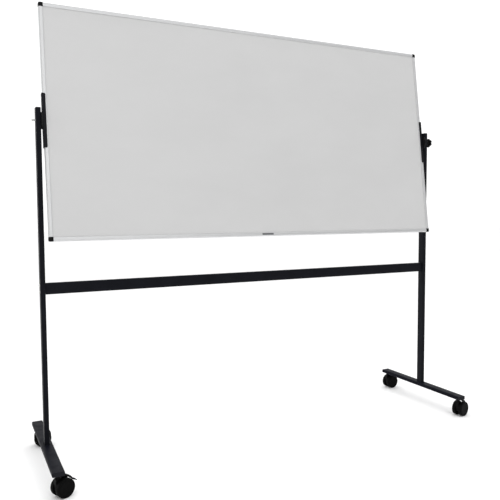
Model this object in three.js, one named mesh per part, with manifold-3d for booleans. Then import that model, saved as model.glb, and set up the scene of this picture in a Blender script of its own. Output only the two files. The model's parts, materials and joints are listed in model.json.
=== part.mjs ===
// A rolling whiteboard. A double-sided board hangs between two posts on a pair of pivots, so it
// can be tilted or turned right over and locked with a knob, and the stand rolls on four
// twin-wheel castors, the front two with a brake.
// Millimetres. +Z is up, the board's front faces -Y, and +X is to the reader's right.
// The origin is on the floor, under the middle of the object's bounding box.
import * as THREE from 'three';
import { mergeVertices } from 'three/addons/utils/BufferGeometryUtils.js';
import Module from 'manifold-3d';

const wasm = await Module();
wasm.setup();

// ---------------------------------------------------------------- driving dimensions

const GAP = 0.3; // air between pieces that touch
const TUBE_WALL = 1.5;

const BOARD = { width: 2000, height: 1000, tilt: 7.85 }; // tilt in degrees, top leaning back
const RAIL = { face: 17, depth: 20, slotDepth: 6, slotWidth: 14.6, lip: 1.1 };
const CHAMBER = { start: 8.6, end: 14.4, width: 10 }; // the rail's hollow, from its inner edge
const CORNER = { size: 18.5, depth: 20.6, radius: 6, spigot: 20 };
const SHEET = { thickness: 0.7, rebate: 0.3 }; // the rebated edge sits under the rails' lips
const NAME_TAB = { width: 60, height: 8, depth: 1.2 };
const BRACKET = { length: 227, web: 3, flange: 2.6, overlap: 12 };

const POST = { width: 20, depth: 40, corner: 2, spacing: 2040, top: 1518 };
const CAP = { flange: 3, bevel: 1, plug: 12 };
const FOOT = { width: 48, height: 19, corner: 5, length: 640, bottom: 91 };
const CROSSBAR = { height: 48, depth: 20, corner: 2, bottom: 747, insert: 30 };
const CROSSBAR_BOLT = { radius: 3, head: 6, headHeight: 4.4, reach: 24, spacing: 30 };

const PIVOT_HEIGHT = 1466;
const SPINDLE = { radius: 4, collar: 8, collarHeight: 2, tip: 15 };
const DISC = { radius: 35, bevel: 1.5 };
const PIVOT_NUT = { acrossFlats: 13, height: 6.5 };
const WASHER = { radius: 12, thickness: 1.6 };
const KNOB = {
  radius: 24,
  lobes: 6,
  lobeDepth: 4,
  boss: 11,
  bossHeight: 16,
  head: 14,
  bevel: 3,
  dome: 16,
  domeHeight: 4,
};

const WHEEL = { radius: 38, width: 17, trail: 20, track: 54 };
const WHEEL_SEGMENTS = 36;
const HOOD = {
  radius: 32.5,
  width: 18.4,
  head: 13,
  headBottom: 60,
  headTop: 78,
  boss: 8.5,
  bossTop: 89.4,
  lug: 7,
  lugBottom: 83.6,
};
const STEM = { radius: 5, flange: 8, flangeHeight: 1, bottom: 62, top: 105 };
const AXLE_RADIUS = 4;
const PEDAL = { pivotX: 17, pivotZ: 86.5, barrel: 3, pin: 1.5, width: 18, web: 3.8 };

// The hood's lower edge: where it starts, a curve's control point and its end, as [x, z] from
// the stem's axis and the floor.
const HOOD_EDGE = [[-10, 30], [8, 20], [28, 22]];

// The pedal's outline as [x, z] from the stem's axis and the floor, over its top and back below.
const PEDAL_TOP = [
  [27, 88.4], [34.5, 84.2], [41, 80.2], [47.5, 76.2], [52.2, 71.8], [56, 67],
  [59.4, 62.6], [63.5, 59], [69, 55.7], [76, 51.2], [79, 48.3], [79.6, 46.6],
];
const PEDAL_UNDERSIDE = [
  [78.2, 45.9], [75, 48], [68, 52.4], [62, 55.9], [57.5, 59.3], [54.5, 62.6],
  [50.5, 67.4], [45.5, 71.6], [40, 74.8], [34, 77.8], [28, 81],
];

// Where each castor's stem stands, and how far it has swivelled from trailing along +X.
const CASTOR_INSET = 23;
const CASTORS = [
  { name: 'front_left', side: -1, end: -1, turn: 22, brake: true },
  { name: 'front_right', side: 1, end: -1, turn: 14, brake: true },
  { name: 'back_left', side: -1, end: 1, turn: -6, brake: false },
  { name: 'back_right', side: 1, end: 1, turn: 2, brake: false },
];

const POST_X = POST.spacing / 2;
const POST_INNER = POST_X - POST.width / 2;
const POST_OUTER = POST_X + POST.width / 2;
const FOOT_TOP = FOOT.bottom + FOOT.height;
const SIDES = [
  { name: 'left', sign: -1 },
  { name: 'right', sign: 1 },
];

// ---------------------------------------------------------------- materials

const material = (color, roughness, metalness) =>
  new THREE.MeshStandardMaterial({ color, roughness, metalness, flatShading: true });
const blackSteel = () => material(0x1e2025, 0.55, 0.3);
const blackPlastic = () => material(0x181819, 0.6, 0);
const castorPlastic = () => material(0x161616, 0.5, 0);
const aluminium = () => material(0xd2d4d6, 0.35, 0.9);
const zincSteel = () => material(0xb9bcc0, 0.3, 1);
const enamel = () => material(0xcdcdcf, 0.25, 0.1);
const coreBoard = () => material(0xa98c68, 0.85, 0);
const tabPlastic = () => material(0x5b5d60, 0.45, 0);

// ---------------------------------------------------------------- shape helpers

/** A closed geometry as a manifold-3d solid. */
function solid(geometry) {
  const bare = geometry.clone();
  bare.deleteAttribute('normal');
  bare.deleteAttribute('uv');
  const merged = mergeVertices(bare, 1e-4);
  return new wasm.Manifold(
    new wasm.Mesh({
      numProp: 3,
      vertProperties: Float32Array.from(merged.attributes.position.array),
      triVerts: Uint32Array.from(merged.index.array),
    })
  );
}

/** A manifold-3d solid as a three.js geometry. */
function geometryOf(body) {
  const mesh = body.getMesh();
  const geometry = new THREE.BufferGeometry();
  geometry.setAttribute('position', new THREE.BufferAttribute(mesh.vertProperties, 3));
  geometry.setIndex(new THREE.BufferAttribute(mesh.triVerts, 1));
  geometry.computeVertexNormals();
  return geometry;
}

function join(geometry, ...others) {
  return geometryOf(others.reduce((body, other) => body.add(solid(other)), solid(geometry)));
}

function cut(geometry, ...tools) {
  return geometryOf(tools.reduce((body, tool) => body.subtract(solid(tool)), solid(geometry)));
}

/** Adds a rounded rectangle, centred on the origin, to a shape or a hole's path. */
function roundedRectangle(path, width, height, radius) {
  const x = width / 2 - radius;
  const y = height / 2 - radius;
  path.absarc(x, y, radius, 0, Math.PI / 2);
  path.absarc(-x, y, radius, Math.PI / 2, Math.PI);
  path.absarc(-x, -y, radius, Math.PI, Math.PI * 1.5);
  path.absarc(x, -y, radius, Math.PI * 1.5, Math.PI * 2);
  path.closePath();
  return path;
}

/** Extrudes a shape along Z, centred on the origin. */
function bar(shape, length, curveSegments = 4) {
  const geometry = new THREE.ExtrudeGeometry(shape, {
    depth: length,
    bevelEnabled: false,
    curveSegments,
  });
  return geometry.translate(0, 0, -length / 2);
}

/** A rectangular tube along Z, centred on the origin. */
function tube({ width, height, corner }, length) {
  const section = roundedRectangle(new THREE.Shape(), width, height, corner);
  const hollow = roundedRectangle(
    new THREE.Path(),
    width - 2 * TUBE_WALL,
    height - 2 * TUBE_WALL,
    Math.max(corner - TUBE_WALL, 0.5)
  );
  section.holes.push(hollow);
  return bar(section, length);
}

/** A flat block along Z from 0 to its height, with every edge of both faces bevelled. */
function bevelledBlock(shape, height, bevel, curveSegments = 4, bevelSegments = 2) {
  const geometry = new THREE.ExtrudeGeometry(shape, {
    depth: height - 2 * bevel,
    bevelThickness: bevel,
    bevelSize: bevel,
    bevelOffset: -bevel,
    bevelSegments,
    curveSegments,
  });
  return geometry.translate(0, 0, bevel);
}

/** Turns a profile of [radius, height] points about Z. */
function turned(profile, segments) {
  const points = profile.map(([radius, height]) => new THREE.Vector2(radius, height));
  return new THREE.LatheGeometry(points, segments).rotateX(Math.PI / 2);
}

/** A round rod along X, Y or Z, centred on the origin. */
function rod(axis, radius, length, segments = 16) {
  const geometry = new THREE.CylinderGeometry(radius, radius, length, segments);
  if (axis === 'x') geometry.rotateZ(Math.PI / 2);
  if (axis === 'z') geometry.rotateX(Math.PI / 2);
  return geometry;
}

/** Adds a named mesh to a group and returns it, to be placed. */
function add(group, name, geometry, itsMaterial) {
  const mesh = new THREE.Mesh(geometry, itsMaterial);
  mesh.name = name;
  group.add(mesh);
  return mesh;
}

/** Turns a mesh so that its local +Z points out of the stand, to the left or to the right. */
function pointOutward(mesh, sign) {
  mesh.rotation.y = (sign * Math.PI) / 2;
}

/** A plastic plug for the end of a tube: a bevelled flange from 0 up, and a plug below it. */
function plugCap({ width, height, corner }) {
  const flange = bevelledBlock(
    roundedRectangle(new THREE.Shape(), width, height, corner),
    CAP.flange,
    CAP.bevel
  );
  const inset = 2 * (TUBE_WALL + GAP);
  const plug = new THREE.BoxGeometry(width - inset - 2, height - inset - 2, CAP.plug);
  plug.translate(0, 0, CAP.flange / 2 - CAP.plug / 2);
  return join(flange, plug);
}

// ---------------------------------------------------------------- posts, feet and crossbar

function addPosts(stand) {
  const bottom = FOOT_TOP + GAP;
  const top = POST.top - CAP.flange - GAP;
  const section = { width: POST.width, height: POST.depth, corner: POST.corner };
  const middle = (bottom + top) / 2;
  const hole = (radius, height) =>
    rod('x', radius + GAP, POST.width + 2).translate(0, 0, height - middle);
  for (const { name, sign } of SIDES) {
    const holes = crossbarBoltHeights().map((height) => hole(CROSSBAR_BOLT.radius, height));
    const body = cut(tube(section, top - bottom), hole(SPINDLE.radius, PIVOT_HEIGHT), ...holes);
    add(stand, `post_${name}`, body, blackSteel()).position.set(sign * POST_X, 0, middle);
    const cap = add(stand, `post_cap_${name}`, plugCap(section), blackPlastic());
    cap.position.set(sign * POST_X, 0, POST.top - CAP.flange);
  }
}

function addFeet(stand) {
  const section = { width: FOOT.width, height: FOOT.height, corner: FOOT.corner };
  const length = FOOT.length - 2 * (CAP.flange + GAP);
  const height = FOOT.bottom + FOOT.height / 2;
  for (const { name, sign } of SIDES) {
    const stemHoles = [-1, 1].map((end) =>
      rod('z', STEM.radius + GAP, FOOT.height).translate(0, end * castorY(), -FOOT.height / 2)
    );
    const body = cut(tube(section, length).rotateX(Math.PI / 2), ...stemHoles);
    add(stand, `foot_${name}`, body, blackSteel()).position.set(sign * POST_X, 0, height);
    for (const [end, direction] of [['front', -1], ['back', 1]]) {
      const cap = add(stand, `foot_cap_${end}_${name}`, plugCap(section), blackPlastic());
      cap.rotation.x = (-direction * Math.PI) / 2;
      cap.position.set(sign * POST_X, direction * (FOOT.length / 2 - CAP.flange), height);
    }
  }
}

function crossbarBoltHeights() {
  const middle = CROSSBAR.bottom + CROSSBAR.height / 2;
  return [middle - CROSSBAR_BOLT.spacing / 2, middle + CROSSBAR_BOLT.spacing / 2];
}

function addCrossbar(stand) {
  const section = { width: CROSSBAR.height, height: CROSSBAR.depth, corner: CROSSBAR.corner };
  const end = POST_INNER - GAP;
  const middle = CROSSBAR.bottom + CROSSBAR.height / 2;
  const body = tube(section, 2 * end).rotateY(Math.PI / 2);
  add(stand, 'crossbar', body, blackSteel()).position.z = middle;

  const inset = 2 * (TUBE_WALL + GAP);
  const block = new THREE.BoxGeometry(
    CROSSBAR.insert,
    CROSSBAR.depth - inset,
    CROSSBAR.height - inset
  );
  const bores = crossbarBoltHeights().map((height) =>
    rod('x', CROSSBAR_BOLT.radius + GAP, CROSSBAR.insert + 2).translate(0, 0, height - middle)
  );
  for (const { name, sign } of SIDES) {
    const insert = add(stand, `crossbar_insert_${name}`, cut(block, ...bores), zincSteel());
    insert.position.set(sign * (end - CROSSBAR.insert / 2), 0, middle);
    crossbarBoltHeights().forEach((height, index) => {
      const place = index === 0 ? 'lower' : 'upper';
      const bolt = add(stand, `crossbar_bolt_${place}_${name}`, buttonBolt(), zincSteel());
      bolt.position.set(sign * (POST_OUTER + GAP), 0, height);
      pointOutward(bolt, sign);
    });
  }
}

/** A button-head bolt: its head rises from 0 and its shank goes down into the crossbar. */
function buttonBolt() {
  const { radius, head, headHeight, reach } = CROSSBAR_BOLT;
  const foot = -(POST.width + reach);
  const dome = [1, 2, 3].map((step) => {
    const angle = (step / 3) * (Math.PI / 2);
    return [head * Math.cos(angle * 0.8), 1 + (headHeight - 1) * Math.sin(angle)];
  });
  const socket = [[1.8, headHeight], [1.8, headHeight - 2], [0, headHeight - 2]];
  const shank = [[0, foot], [radius - 0.6, foot], [radius, foot + 0.6], [radius, 0]];
  return turned([...shank, [head, 0], [head, 1], ...dome, ...socket], 20);
}

// ---------------------------------------------------------------- pivots and locking knob

/** Distance from the middle of the board to the outer face of a bracket's web. */
const BRACKET_OUTER = BOARD.width / 2 + GAP + BRACKET.web;

function addPivotDiscs(stand) {
  const start = BRACKET_OUTER + GAP;
  const height = POST_INNER - GAP - start;
  const bore = SPINDLE.radius + GAP;
  const recess = SPINDLE.collar + GAP;
  const floor = SPINDLE.collarHeight + GAP;
  const profile = [
    [recess, 0],
    [DISC.radius - DISC.bevel, 0],
    [DISC.radius, DISC.bevel],
    [DISC.radius, height],
    [bore, height],
    [bore, floor],
    [recess, floor],
    [recess, 0],
  ];
  for (const { name, sign } of SIDES) {
    const disc = add(stand, `pivot_disc_${name}`, turned(profile, 36), blackPlastic());
    disc.position.set(sign * start, 0, PIVOT_HEIGHT);
    pointOutward(disc, sign);
  }
}

/** A stud with a collar at its foot, from 0 up. */
function spindle(length) {
  const { radius, collar, collarHeight } = SPINDLE;
  return turned(
    [[0, 0], [collar, 0], [collar, collarHeight], [radius, collarHeight],
      [radius, length - 1], [radius - 1, length], [0, length]],
    20
  );
}

const KNOB_START = POST_OUTER + GAP + WASHER.thickness + GAP;
const KNOB_BORE = 24; // depth of the knob's threaded bore

/** Spindles turn with the board, so they stand in the board's group, at the pivot's height. */
function addSpindles(board) {
  const start = BRACKET_OUTER + GAP;
  const ends = { left: POST_OUTER + SPINDLE.tip, right: KNOB_START + KNOB_BORE - 1 };
  for (const { name, sign } of SIDES) {
    const stud = add(board, `pivot_spindle_${name}`, spindle(ends[name] - start), zincSteel());
    stud.position.x = sign * start;
    pointOutward(stud, sign);
  }
  const across = PIVOT_NUT.acrossFlats / 2 / Math.cos(Math.PI / 6);
  const nut = cut(
    rod('x', across, PIVOT_NUT.height, 6),
    rod('x', SPINDLE.radius + GAP, PIVOT_NUT.height + 2)
  );
  const outerWall = POST_OUTER - TUBE_WALL;
  add(board, 'pivot_nut_left', nut, zincSteel()).position.x =
    -(outerWall - GAP - PIVOT_NUT.height / 2);
}

function addKnob(whole) {
  const washerProfile = [
    [SPINDLE.radius + GAP, 0],
    [WASHER.radius, 0],
    [WASHER.radius, WASHER.thickness],
    [SPINDLE.radius + GAP, WASHER.thickness],
    [SPINDLE.radius + GAP, 0],
  ];
  const washer = add(whole, 'knob_washer', turned(washerProfile, 24), zincSteel());
  washer.position.set(POST_OUTER + GAP, 0, PIVOT_HEIGHT);
  pointOutward(washer, 1);

  const lobed = new THREE.Shape(
    Array.from({ length: KNOB.lobes * 10 }, (_, step) => {
      const angle = (step / (KNOB.lobes * 10)) * Math.PI * 2;
      const radius = KNOB.radius - (KNOB.lobeDepth / 2) * (1 - Math.cos(KNOB.lobes * angle));
      return new THREE.Vector2(radius * Math.cos(angle), radius * Math.sin(angle));
    })
  );
  const head = bevelledBlock(lobed, KNOB.head, KNOB.bevel).translate(0, 0, KNOB.bossHeight);
  const boss = turned(
    [[0, 0], [KNOB.boss, 0], [KNOB.boss + 1, KNOB.bossHeight + 1], [0, KNOB.bossHeight + 1]],
    24
  );
  const face = KNOB.bossHeight + KNOB.head;
  const rise = [1, 2, 3, 4].map((step) => {
    const angle = (step / 4) * (Math.PI / 2);
    return [KNOB.dome * Math.cos(angle), face + KNOB.domeHeight * Math.sin(angle)];
  });
  const dome = turned([[0, face - 1], [KNOB.dome, face - 1], [KNOB.dome, face], ...rise], 36);
  const bore = rod('z', SPINDLE.radius + GAP, 2 * KNOB_BORE);
  const knob = add(whole, 'locking_knob', cut(join(head, boss, dome), bore), blackPlastic());
  knob.position.set(KNOB_START, 0, PIVOT_HEIGHT);
  pointOutward(knob, 1);
}

// ---------------------------------------------------------------- the board

/** A rail's section: x runs from its inner edge outward, y through its depth. */
function railSection() {
  const { face, depth, slotDepth, slotWidth, lip } = RAIL;
  const front = depth / 2;
  const slot = slotWidth / 2;
  const shape = new THREE.Shape();
  shape.moveTo(slotDepth, -slot);
  shape.lineTo(0, -slot);
  shape.lineTo(0, -slot - lip);
  shape.quadraticCurveTo(0.6, -front, 4, -front);
  shape.lineTo(11, -front);
  shape.quadraticCurveTo(face, -front, face, -4);
  shape.lineTo(face, 4);
  shape.quadraticCurveTo(face, front, 11, front);
  shape.lineTo(4, front);
  shape.quadraticCurveTo(0.6, front, 0, slot + lip);
  shape.lineTo(0, slot);
  shape.lineTo(slotDepth, slot);
  shape.closePath();
  const chamber = new THREE.Path();
  chamber.moveTo(CHAMBER.start, -CHAMBER.width / 2);
  chamber.lineTo(CHAMBER.start, CHAMBER.width / 2);
  chamber.lineTo(CHAMBER.end, CHAMBER.width / 2);
  chamber.lineTo(CHAMBER.end, -CHAMBER.width / 2);
  chamber.closePath();
  shape.holes.push(chamber);
  return shape;
}

/** One rail of the frame: outward is the direction its outer edge faces, in the board. */
function addRail(board, name, outward, edgeDistance, length) {
  const across = new THREE.Vector3(0, 1, 0);
  const along = new THREE.Vector3().crossVectors(outward, across);
  const rail = add(board, name, bar(railSection(), length, 5), aluminium());
  rail.quaternion.setFromRotationMatrix(new THREE.Matrix4().makeBasis(outward, across, along));
  rail.position.copy(outward).multiplyScalar(edgeDistance - RAIL.face);
}

/** A corner block: its outer corner is at the origin and it fills x < 0, z < 0. */
function cornerBlock() {
  const { size, depth, radius, spigot } = CORNER;
  const outline = new THREE.Shape();
  outline.moveTo(-size, -size);
  outline.lineTo(0, -size);
  outline.lineTo(0, -radius);
  outline.absarc(-radius, -radius, radius, 0, Math.PI / 2);
  outline.lineTo(-size, 0);
  outline.closePath();
  const block = bevelledBlock(outline, depth, 1.8);
  block.translate(0, 0, -depth / 2).rotateX(Math.PI / 2);

  const chamberMiddle = (CHAMBER.start + CHAMBER.end) / 2 - RAIL.face;
  const thickness = CHAMBER.end - CHAMBER.start - 2 * GAP;
  const reach = spigot + size / 2;
  const spigots = [
    new THREE.BoxGeometry(reach, CHAMBER.width - 2 * GAP, thickness)
      .translate(-size / 2 - reach / 2, 0, chamberMiddle),
    new THREE.BoxGeometry(thickness, CHAMBER.width - 2 * GAP, reach)
      .translate(chamberMiddle, 0, -size / 2 - reach / 2),
  ];
  const panelCorner = new THREE.BoxGeometry(size, RAIL.slotWidth, size);
  const slotFloor = RAIL.slotDepth - RAIL.face;
  panelCorner.translate(slotFloor - size / 2, 0, slotFloor - size / 2);
  // The block's inner corner is cut back to the rails' lips, so nothing lies over the sheets.
  const faceCorner = new THREE.BoxGeometry(size, depth + 2, size);
  faceCorner.translate(-RAIL.face - size / 2, 0, -RAIL.face - size / 2);
  return cut(join(block, ...spigots), panelCorner, faceCorner);
}

function addFrame(board) {
  const { width, height } = BOARD;
  const lengthX = width - 2 * (CORNER.size + GAP);
  const lengthZ = height - 2 * (CORNER.size + GAP);
  addRail(board, 'rail_top', new THREE.Vector3(0, 0, 1), height / 2, lengthX);
  addRail(board, 'rail_bottom', new THREE.Vector3(0, 0, -1), height / 2, lengthX);
  addRail(board, 'rail_left', new THREE.Vector3(-1, 0, 0), width / 2, lengthZ);
  addRail(board, 'rail_right', new THREE.Vector3(1, 0, 0), width / 2, lengthZ);
  const corners = [
    ['corner_top_right', 1, 1, 0],
    ['corner_bottom_right', 1, -1, Math.PI / 2],
    ['corner_bottom_left', -1, -1, Math.PI],
    ['corner_top_left', -1, 1, -Math.PI / 2],
  ];
  for (const [name, signX, signZ, turn] of corners) {
    const corner = add(board, name, cornerBlock(), blackPlastic());
    corner.rotation.y = turn;
    corner.position.set((signX * width) / 2, 0, (signZ * height) / 2);
  }
}

function addPanel(board) {
  const edge = 2 * (RAIL.face - RAIL.slotDepth + GAP);
  const width = BOARD.width - edge;
  const height = BOARD.height - edge;
  const sheetFace = RAIL.slotWidth / 2 - GAP;
  const coreFace = sheetFace - SHEET.thickness - GAP;
  const inFrame = 2 * (RAIL.face + GAP);
  const core = new THREE.BoxGeometry(width, 2 * coreFace, height);
  add(board, 'core_panel', core, coreBoard());
  for (const [name, direction] of [['front', -1], ['back', 1]]) {
    const thin = SHEET.thickness - SHEET.rebate;
    const edges = new THREE.BoxGeometry(width, thin, height);
    edges.translate(0, (-direction * SHEET.rebate) / 2, 0);
    const face = new THREE.BoxGeometry(
      BOARD.width - inFrame,
      SHEET.thickness,
      BOARD.height - inFrame
    );
    const mesh = add(board, `writing_sheet_${name}`, join(face, edges), enamel());
    mesh.position.y = direction * (sheetFace - SHEET.thickness / 2);
  }
}

/** A U-channel over the middle of each side rail. */
function addBrackets(board) {
  const inner = RAIL.depth / 2 + GAP;
  const outer = inner + BRACKET.flange;
  const web = BRACKET_OUTER;
  const bend = 1.5;
  const lipEnd = BOARD.width / 2 - BRACKET.overlap;
  const section = new THREE.Shape();
  section.moveTo(lipEnd, -outer);
  section.lineTo(web - bend, -outer);
  section.absarc(web - bend, -outer + bend, bend, -Math.PI / 2, 0);
  section.lineTo(web, outer - bend);
  section.absarc(web - bend, outer - bend, bend, 0, Math.PI / 2);
  section.lineTo(lipEnd, outer);
  section.lineTo(lipEnd, inner);
  section.lineTo(web - BRACKET.web, inner);
  section.lineTo(web - BRACKET.web, -inner);
  section.lineTo(lipEnd, -inner);
  section.closePath();
  for (const { name, sign } of SIDES) {
    const channel = add(board, `bracket_${name}`, bar(section, BRACKET.length), blackSteel());
    channel.rotation.z = sign > 0 ? 0 : Math.PI;
  }
}

function addNameTab(board) {
  const { width, height, depth } = NAME_TAB;
  const outline = roundedRectangle(new THREE.Shape(), width, height, 1.5);
  const plate = bar(outline, depth).rotateX(Math.PI / 2);
  const tab = add(board, 'name_tab', plate, tabPlastic());
  const flatMiddle = 7.5 - RAIL.face; // middle of the rail's flat front, from its outer edge
  tab.position.y = -(RAIL.depth / 2 + GAP + depth / 2);
  tab.position.z = -(BOARD.height / 2 + flatMiddle);
}

function makeBoard() {
  const board = new THREE.Group();
  addFrame(board);
  addPanel(board);
  addBrackets(board);
  addNameTab(board);
  addSpindles(board);
  board.position.z = PIVOT_HEIGHT;
  board.rotation.x = -THREE.MathUtils.degToRad(BOARD.tilt);
  return board;
}

// ---------------------------------------------------------------- castors

/** Distance of a castor's stem from the middle of its foot. */
function castorY() {
  return FOOT.length / 2 - CASTOR_INSET;
}

/** A wheel about Z: its hub side is at the bottom and its closed face at the top. */
function castorWheel() {
  const { radius, width } = WHEEL;
  const bore = AXLE_RADIUS + GAP;
  return turned(
    [
      [0, width - 4], [bore, width - 4], [bore, 0], [10, 0], [11, 4], [29, 4], [30, 0],
      [radius, 0], [radius, width - 1.5], [radius - 1.5, width], [31, width],
      [29.5, width - 1], [0, width - 1],
    ],
    WHEEL_SEGMENTS
  );
}

/** The fixed stem: it screws up into the foot and its lower end is the swivel's pin. */
function castorStem() {
  const { radius, flange, flangeHeight, bottom, top } = STEM;
  const shoulder = HOOD.bossTop + GAP;
  return turned(
    [
      [0, bottom], [radius, bottom], [radius, shoulder], [flange, shoulder],
      [flange, shoulder + flangeHeight], [radius, shoulder + flangeHeight],
      [radius, top - 1], [radius - 1, top], [0, top],
    ],
    20
  );
}

/** The swivelling body between the two wheels. With a brake it has a lug for the pedal. */
function castorHood(brake) {
  const { radius, width, head, headBottom, headTop, boss, bossTop, lug, lugBottom } = HOOD;
  const { trail } = WHEEL;
  const axleHeight = WHEEL.radius;
  const outline = new THREE.Shape();
  outline.absarc(trail, axleHeight, radius, -0.35, 2.4);
  outline.lineTo(-head, (headBottom + headTop) / 2);
  outline.lineTo(-head, headBottom);
  outline.lineTo(...HOOD_EDGE[0]);
  outline.quadraticCurveTo(...HOOD_EDGE[1], ...HOOD_EDGE[2]);
  outline.closePath();
  const web = bar(outline, width, 20).rotateX(Math.PI / 2);
  const block = new THREE.BoxGeometry(2 * head, width, headTop - headBottom);
  block.translate(0, 0, (headTop + headBottom) / 2);
  const collar = rod('z', boss, bossTop - headBottom, 28);
  collar.translate(0, 0, (bossTop + headBottom) / 2);
  const parts = [block, collar];
  const bores = [
    rod('z', STEM.radius + GAP, bossTop - STEM.bottom + 2)
      .translate(0, 0, (bossTop + STEM.bottom) / 2 + 0.6),
    rod('y', AXLE_RADIUS + GAP, width + 2).translate(trail, 0, axleHeight),
  ];
  if (brake) {
    const { pivotX, pivotZ, barrel, pin } = PEDAL;
    parts.push(
      new THREE.BoxGeometry(pivotX, lug, bossTop - lugBottom)
        .translate(pivotX / 2, 0, (bossTop + lugBottom) / 2),
      rod('y', barrel - 0.1, lug).translate(pivotX, 0, pivotZ)
    );
    bores.push(rod('y', pin + GAP, lug + 2, 12).translate(pivotX, 0, pivotZ));
  }
  return cut(join(web, ...parts), ...bores);
}

/** The brake pedal: two cheeks and a pin at the hood's lug, and a lever that arches down. */
function brakePedal() {
  const { pivotX, pivotZ, barrel, pin, width, web } = PEDAL;
  const lever = new THREE.Shape();
  lever.moveTo(pivotX + web, pivotZ - barrel + 0.3);
  lever.lineTo(pivotX + web, pivotZ + barrel - 0.2);
  for (const [x, z] of [...PEDAL_TOP, ...PEDAL_UNDERSIDE]) lever.lineTo(x, z);
  lever.closePath();
  const arm = bar(lever, width).rotateX(Math.PI / 2);
  const cheekStart = HOOD.lug / 2 + GAP;
  const cheekWidth = width / 2 - cheekStart;
  const cheekMiddle = cheekStart + cheekWidth / 2;
  const cheeks = [-1, 1].flatMap((side) => [
    rod('y', barrel, cheekWidth).translate(pivotX, side * cheekMiddle, pivotZ),
    new THREE.BoxGeometry(web + 1, cheekWidth, 2 * barrel - 1)
      .translate(pivotX + (web + 1) / 2, side * cheekMiddle, pivotZ),
  ]);
  return join(arm, ...cheeks, rod('y', pin, width - 2, 12).translate(pivotX, 0, pivotZ));
}

function addCastor(whole, { name, side, end, turn, brake }) {
  const castor = new THREE.Group();
  castor.position.set(side * POST_X, end * castorY(), 0);
  castor.rotation.z = THREE.MathUtils.degToRad(turn);
  whole.add(castor);

  add(castor, `castor_stem_${name}`, castorStem(), zincSteel());
  add(castor, `castor_hood_${name}`, castorHood(brake), castorPlastic());
  const blindFloor = WHEEL.track / 2 - 4;
  const axle = rod('y', AXLE_RADIUS, 2 * (blindFloor - GAP));
  const shaft = add(castor, `castor_axle_${name}`, axle, zincSteel());
  shaft.position.set(WHEEL.trail, 0, WHEEL.radius);
  for (const [number, direction] of [[1, -1], [2, 1]]) {
    const wheel = add(castor, `castor_wheel_${number}_${name}`, castorWheel(), castorPlastic());
    wheel.rotation.x = (-direction * Math.PI) / 2;
    wheel.position.set(WHEEL.trail, direction * (WHEEL.track / 2 - WHEEL.width), WHEEL.radius);
  }
  if (brake) add(castor, `brake_pedal_${name}`, brakePedal(), castorPlastic());
}

// ---------------------------------------------------------------- the whole object

const whiteboard = new THREE.Group();
addPosts(whiteboard);
addFeet(whiteboard);
addCrossbar(whiteboard);
addPivotDiscs(whiteboard);
addKnob(whiteboard);
whiteboard.add(makeBoard());
for (const castor of CASTORS) addCastor(whiteboard, castor);

whiteboard.updateMatrixWorld(true);
const middle = new THREE.Box3().setFromObject(whiteboard, true).getCenter(new THREE.Vector3());
whiteboard.position.set(-middle.x, -middle.y, 0);

export default whiteboard;
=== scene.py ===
import json
import math

import bmesh
import bpy
from mathutils import Matrix, Vector


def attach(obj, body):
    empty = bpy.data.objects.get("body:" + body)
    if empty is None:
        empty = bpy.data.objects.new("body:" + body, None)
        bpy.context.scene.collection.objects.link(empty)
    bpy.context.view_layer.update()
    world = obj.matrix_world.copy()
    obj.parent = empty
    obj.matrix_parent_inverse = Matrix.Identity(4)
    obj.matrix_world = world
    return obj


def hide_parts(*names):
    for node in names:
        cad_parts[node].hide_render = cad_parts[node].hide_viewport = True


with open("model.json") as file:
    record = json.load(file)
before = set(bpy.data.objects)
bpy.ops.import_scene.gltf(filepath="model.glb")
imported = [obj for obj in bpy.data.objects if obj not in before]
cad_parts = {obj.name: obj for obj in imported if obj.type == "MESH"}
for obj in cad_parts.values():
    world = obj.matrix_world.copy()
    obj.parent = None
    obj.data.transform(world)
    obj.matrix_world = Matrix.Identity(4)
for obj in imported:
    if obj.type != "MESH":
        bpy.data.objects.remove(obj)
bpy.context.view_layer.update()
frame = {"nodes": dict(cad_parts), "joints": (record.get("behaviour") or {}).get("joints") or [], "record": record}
record = frame["record"]
joints = {joint["name"]: joint for joint in frame["joints"]}
mounts = {mount["name"]: mount for mount in record["mounts"]}
body_of = {node: body for body, nodes in record["behaviour"]["bodies"].items() for node in nodes}
pivot = Vector(joints["board_tilt"]["pos_m"])
scene = bpy.context.scene

MM = 0.001
GAP = 0.3    # between parts that would touch, as in the CAD

# ------------------------------------------------------------------ camera and studio


def make_camera():
    """The photograph's viewing angle. The place is from the pivot; the heading is right of +Y."""
    place = Vector((pivot.x - 1.35435, pivot.y - 2.69851, 1.09939))
    heading, down, roll = math.radians(26.935), math.radians(3.748), math.radians(0.203)
    forward = Vector((
        math.sin(heading) * math.cos(down),
        math.cos(heading) * math.cos(down),
        -math.sin(down),
    ))
    level_right = Vector((math.cos(heading), -math.sin(heading), 0))
    level_down = forward.cross(level_right)
    right = level_right * math.cos(roll) + level_down * math.sin(roll)
    lower = level_down * math.cos(roll) - level_right * math.sin(roll)
    data = bpy.data.cameras.new("camera")
    data.sensor_width = 36
    data.lens = 44.42
    data.shift_x = -0.0279
    data.shift_y = -0.0008
    data.clip_start = 0.05
    data.clip_end = 100
    camera = bpy.data.objects.new("camera", data)
    scene.collection.objects.link(camera)
    turn = Matrix((right, -lower, -forward)).transposed()
    camera.matrix_world = Matrix.Translation(place) @ turn.to_4x4()
    scene.camera = camera


def area_light(name, place, target, size, power):
    data = bpy.data.lights.new(name, "AREA")
    data.shape = "RECTANGLE"
    data.size, data.size_y = size
    data.energy = power
    lamp = bpy.data.objects.new(name, data)
    lamp.location = place
    lamp.rotation_euler = (Vector(target) - Vector(place)).to_track_quat("-Z", "Y").to_euler()
    scene.collection.objects.link(lamp)
    return lamp


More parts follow.
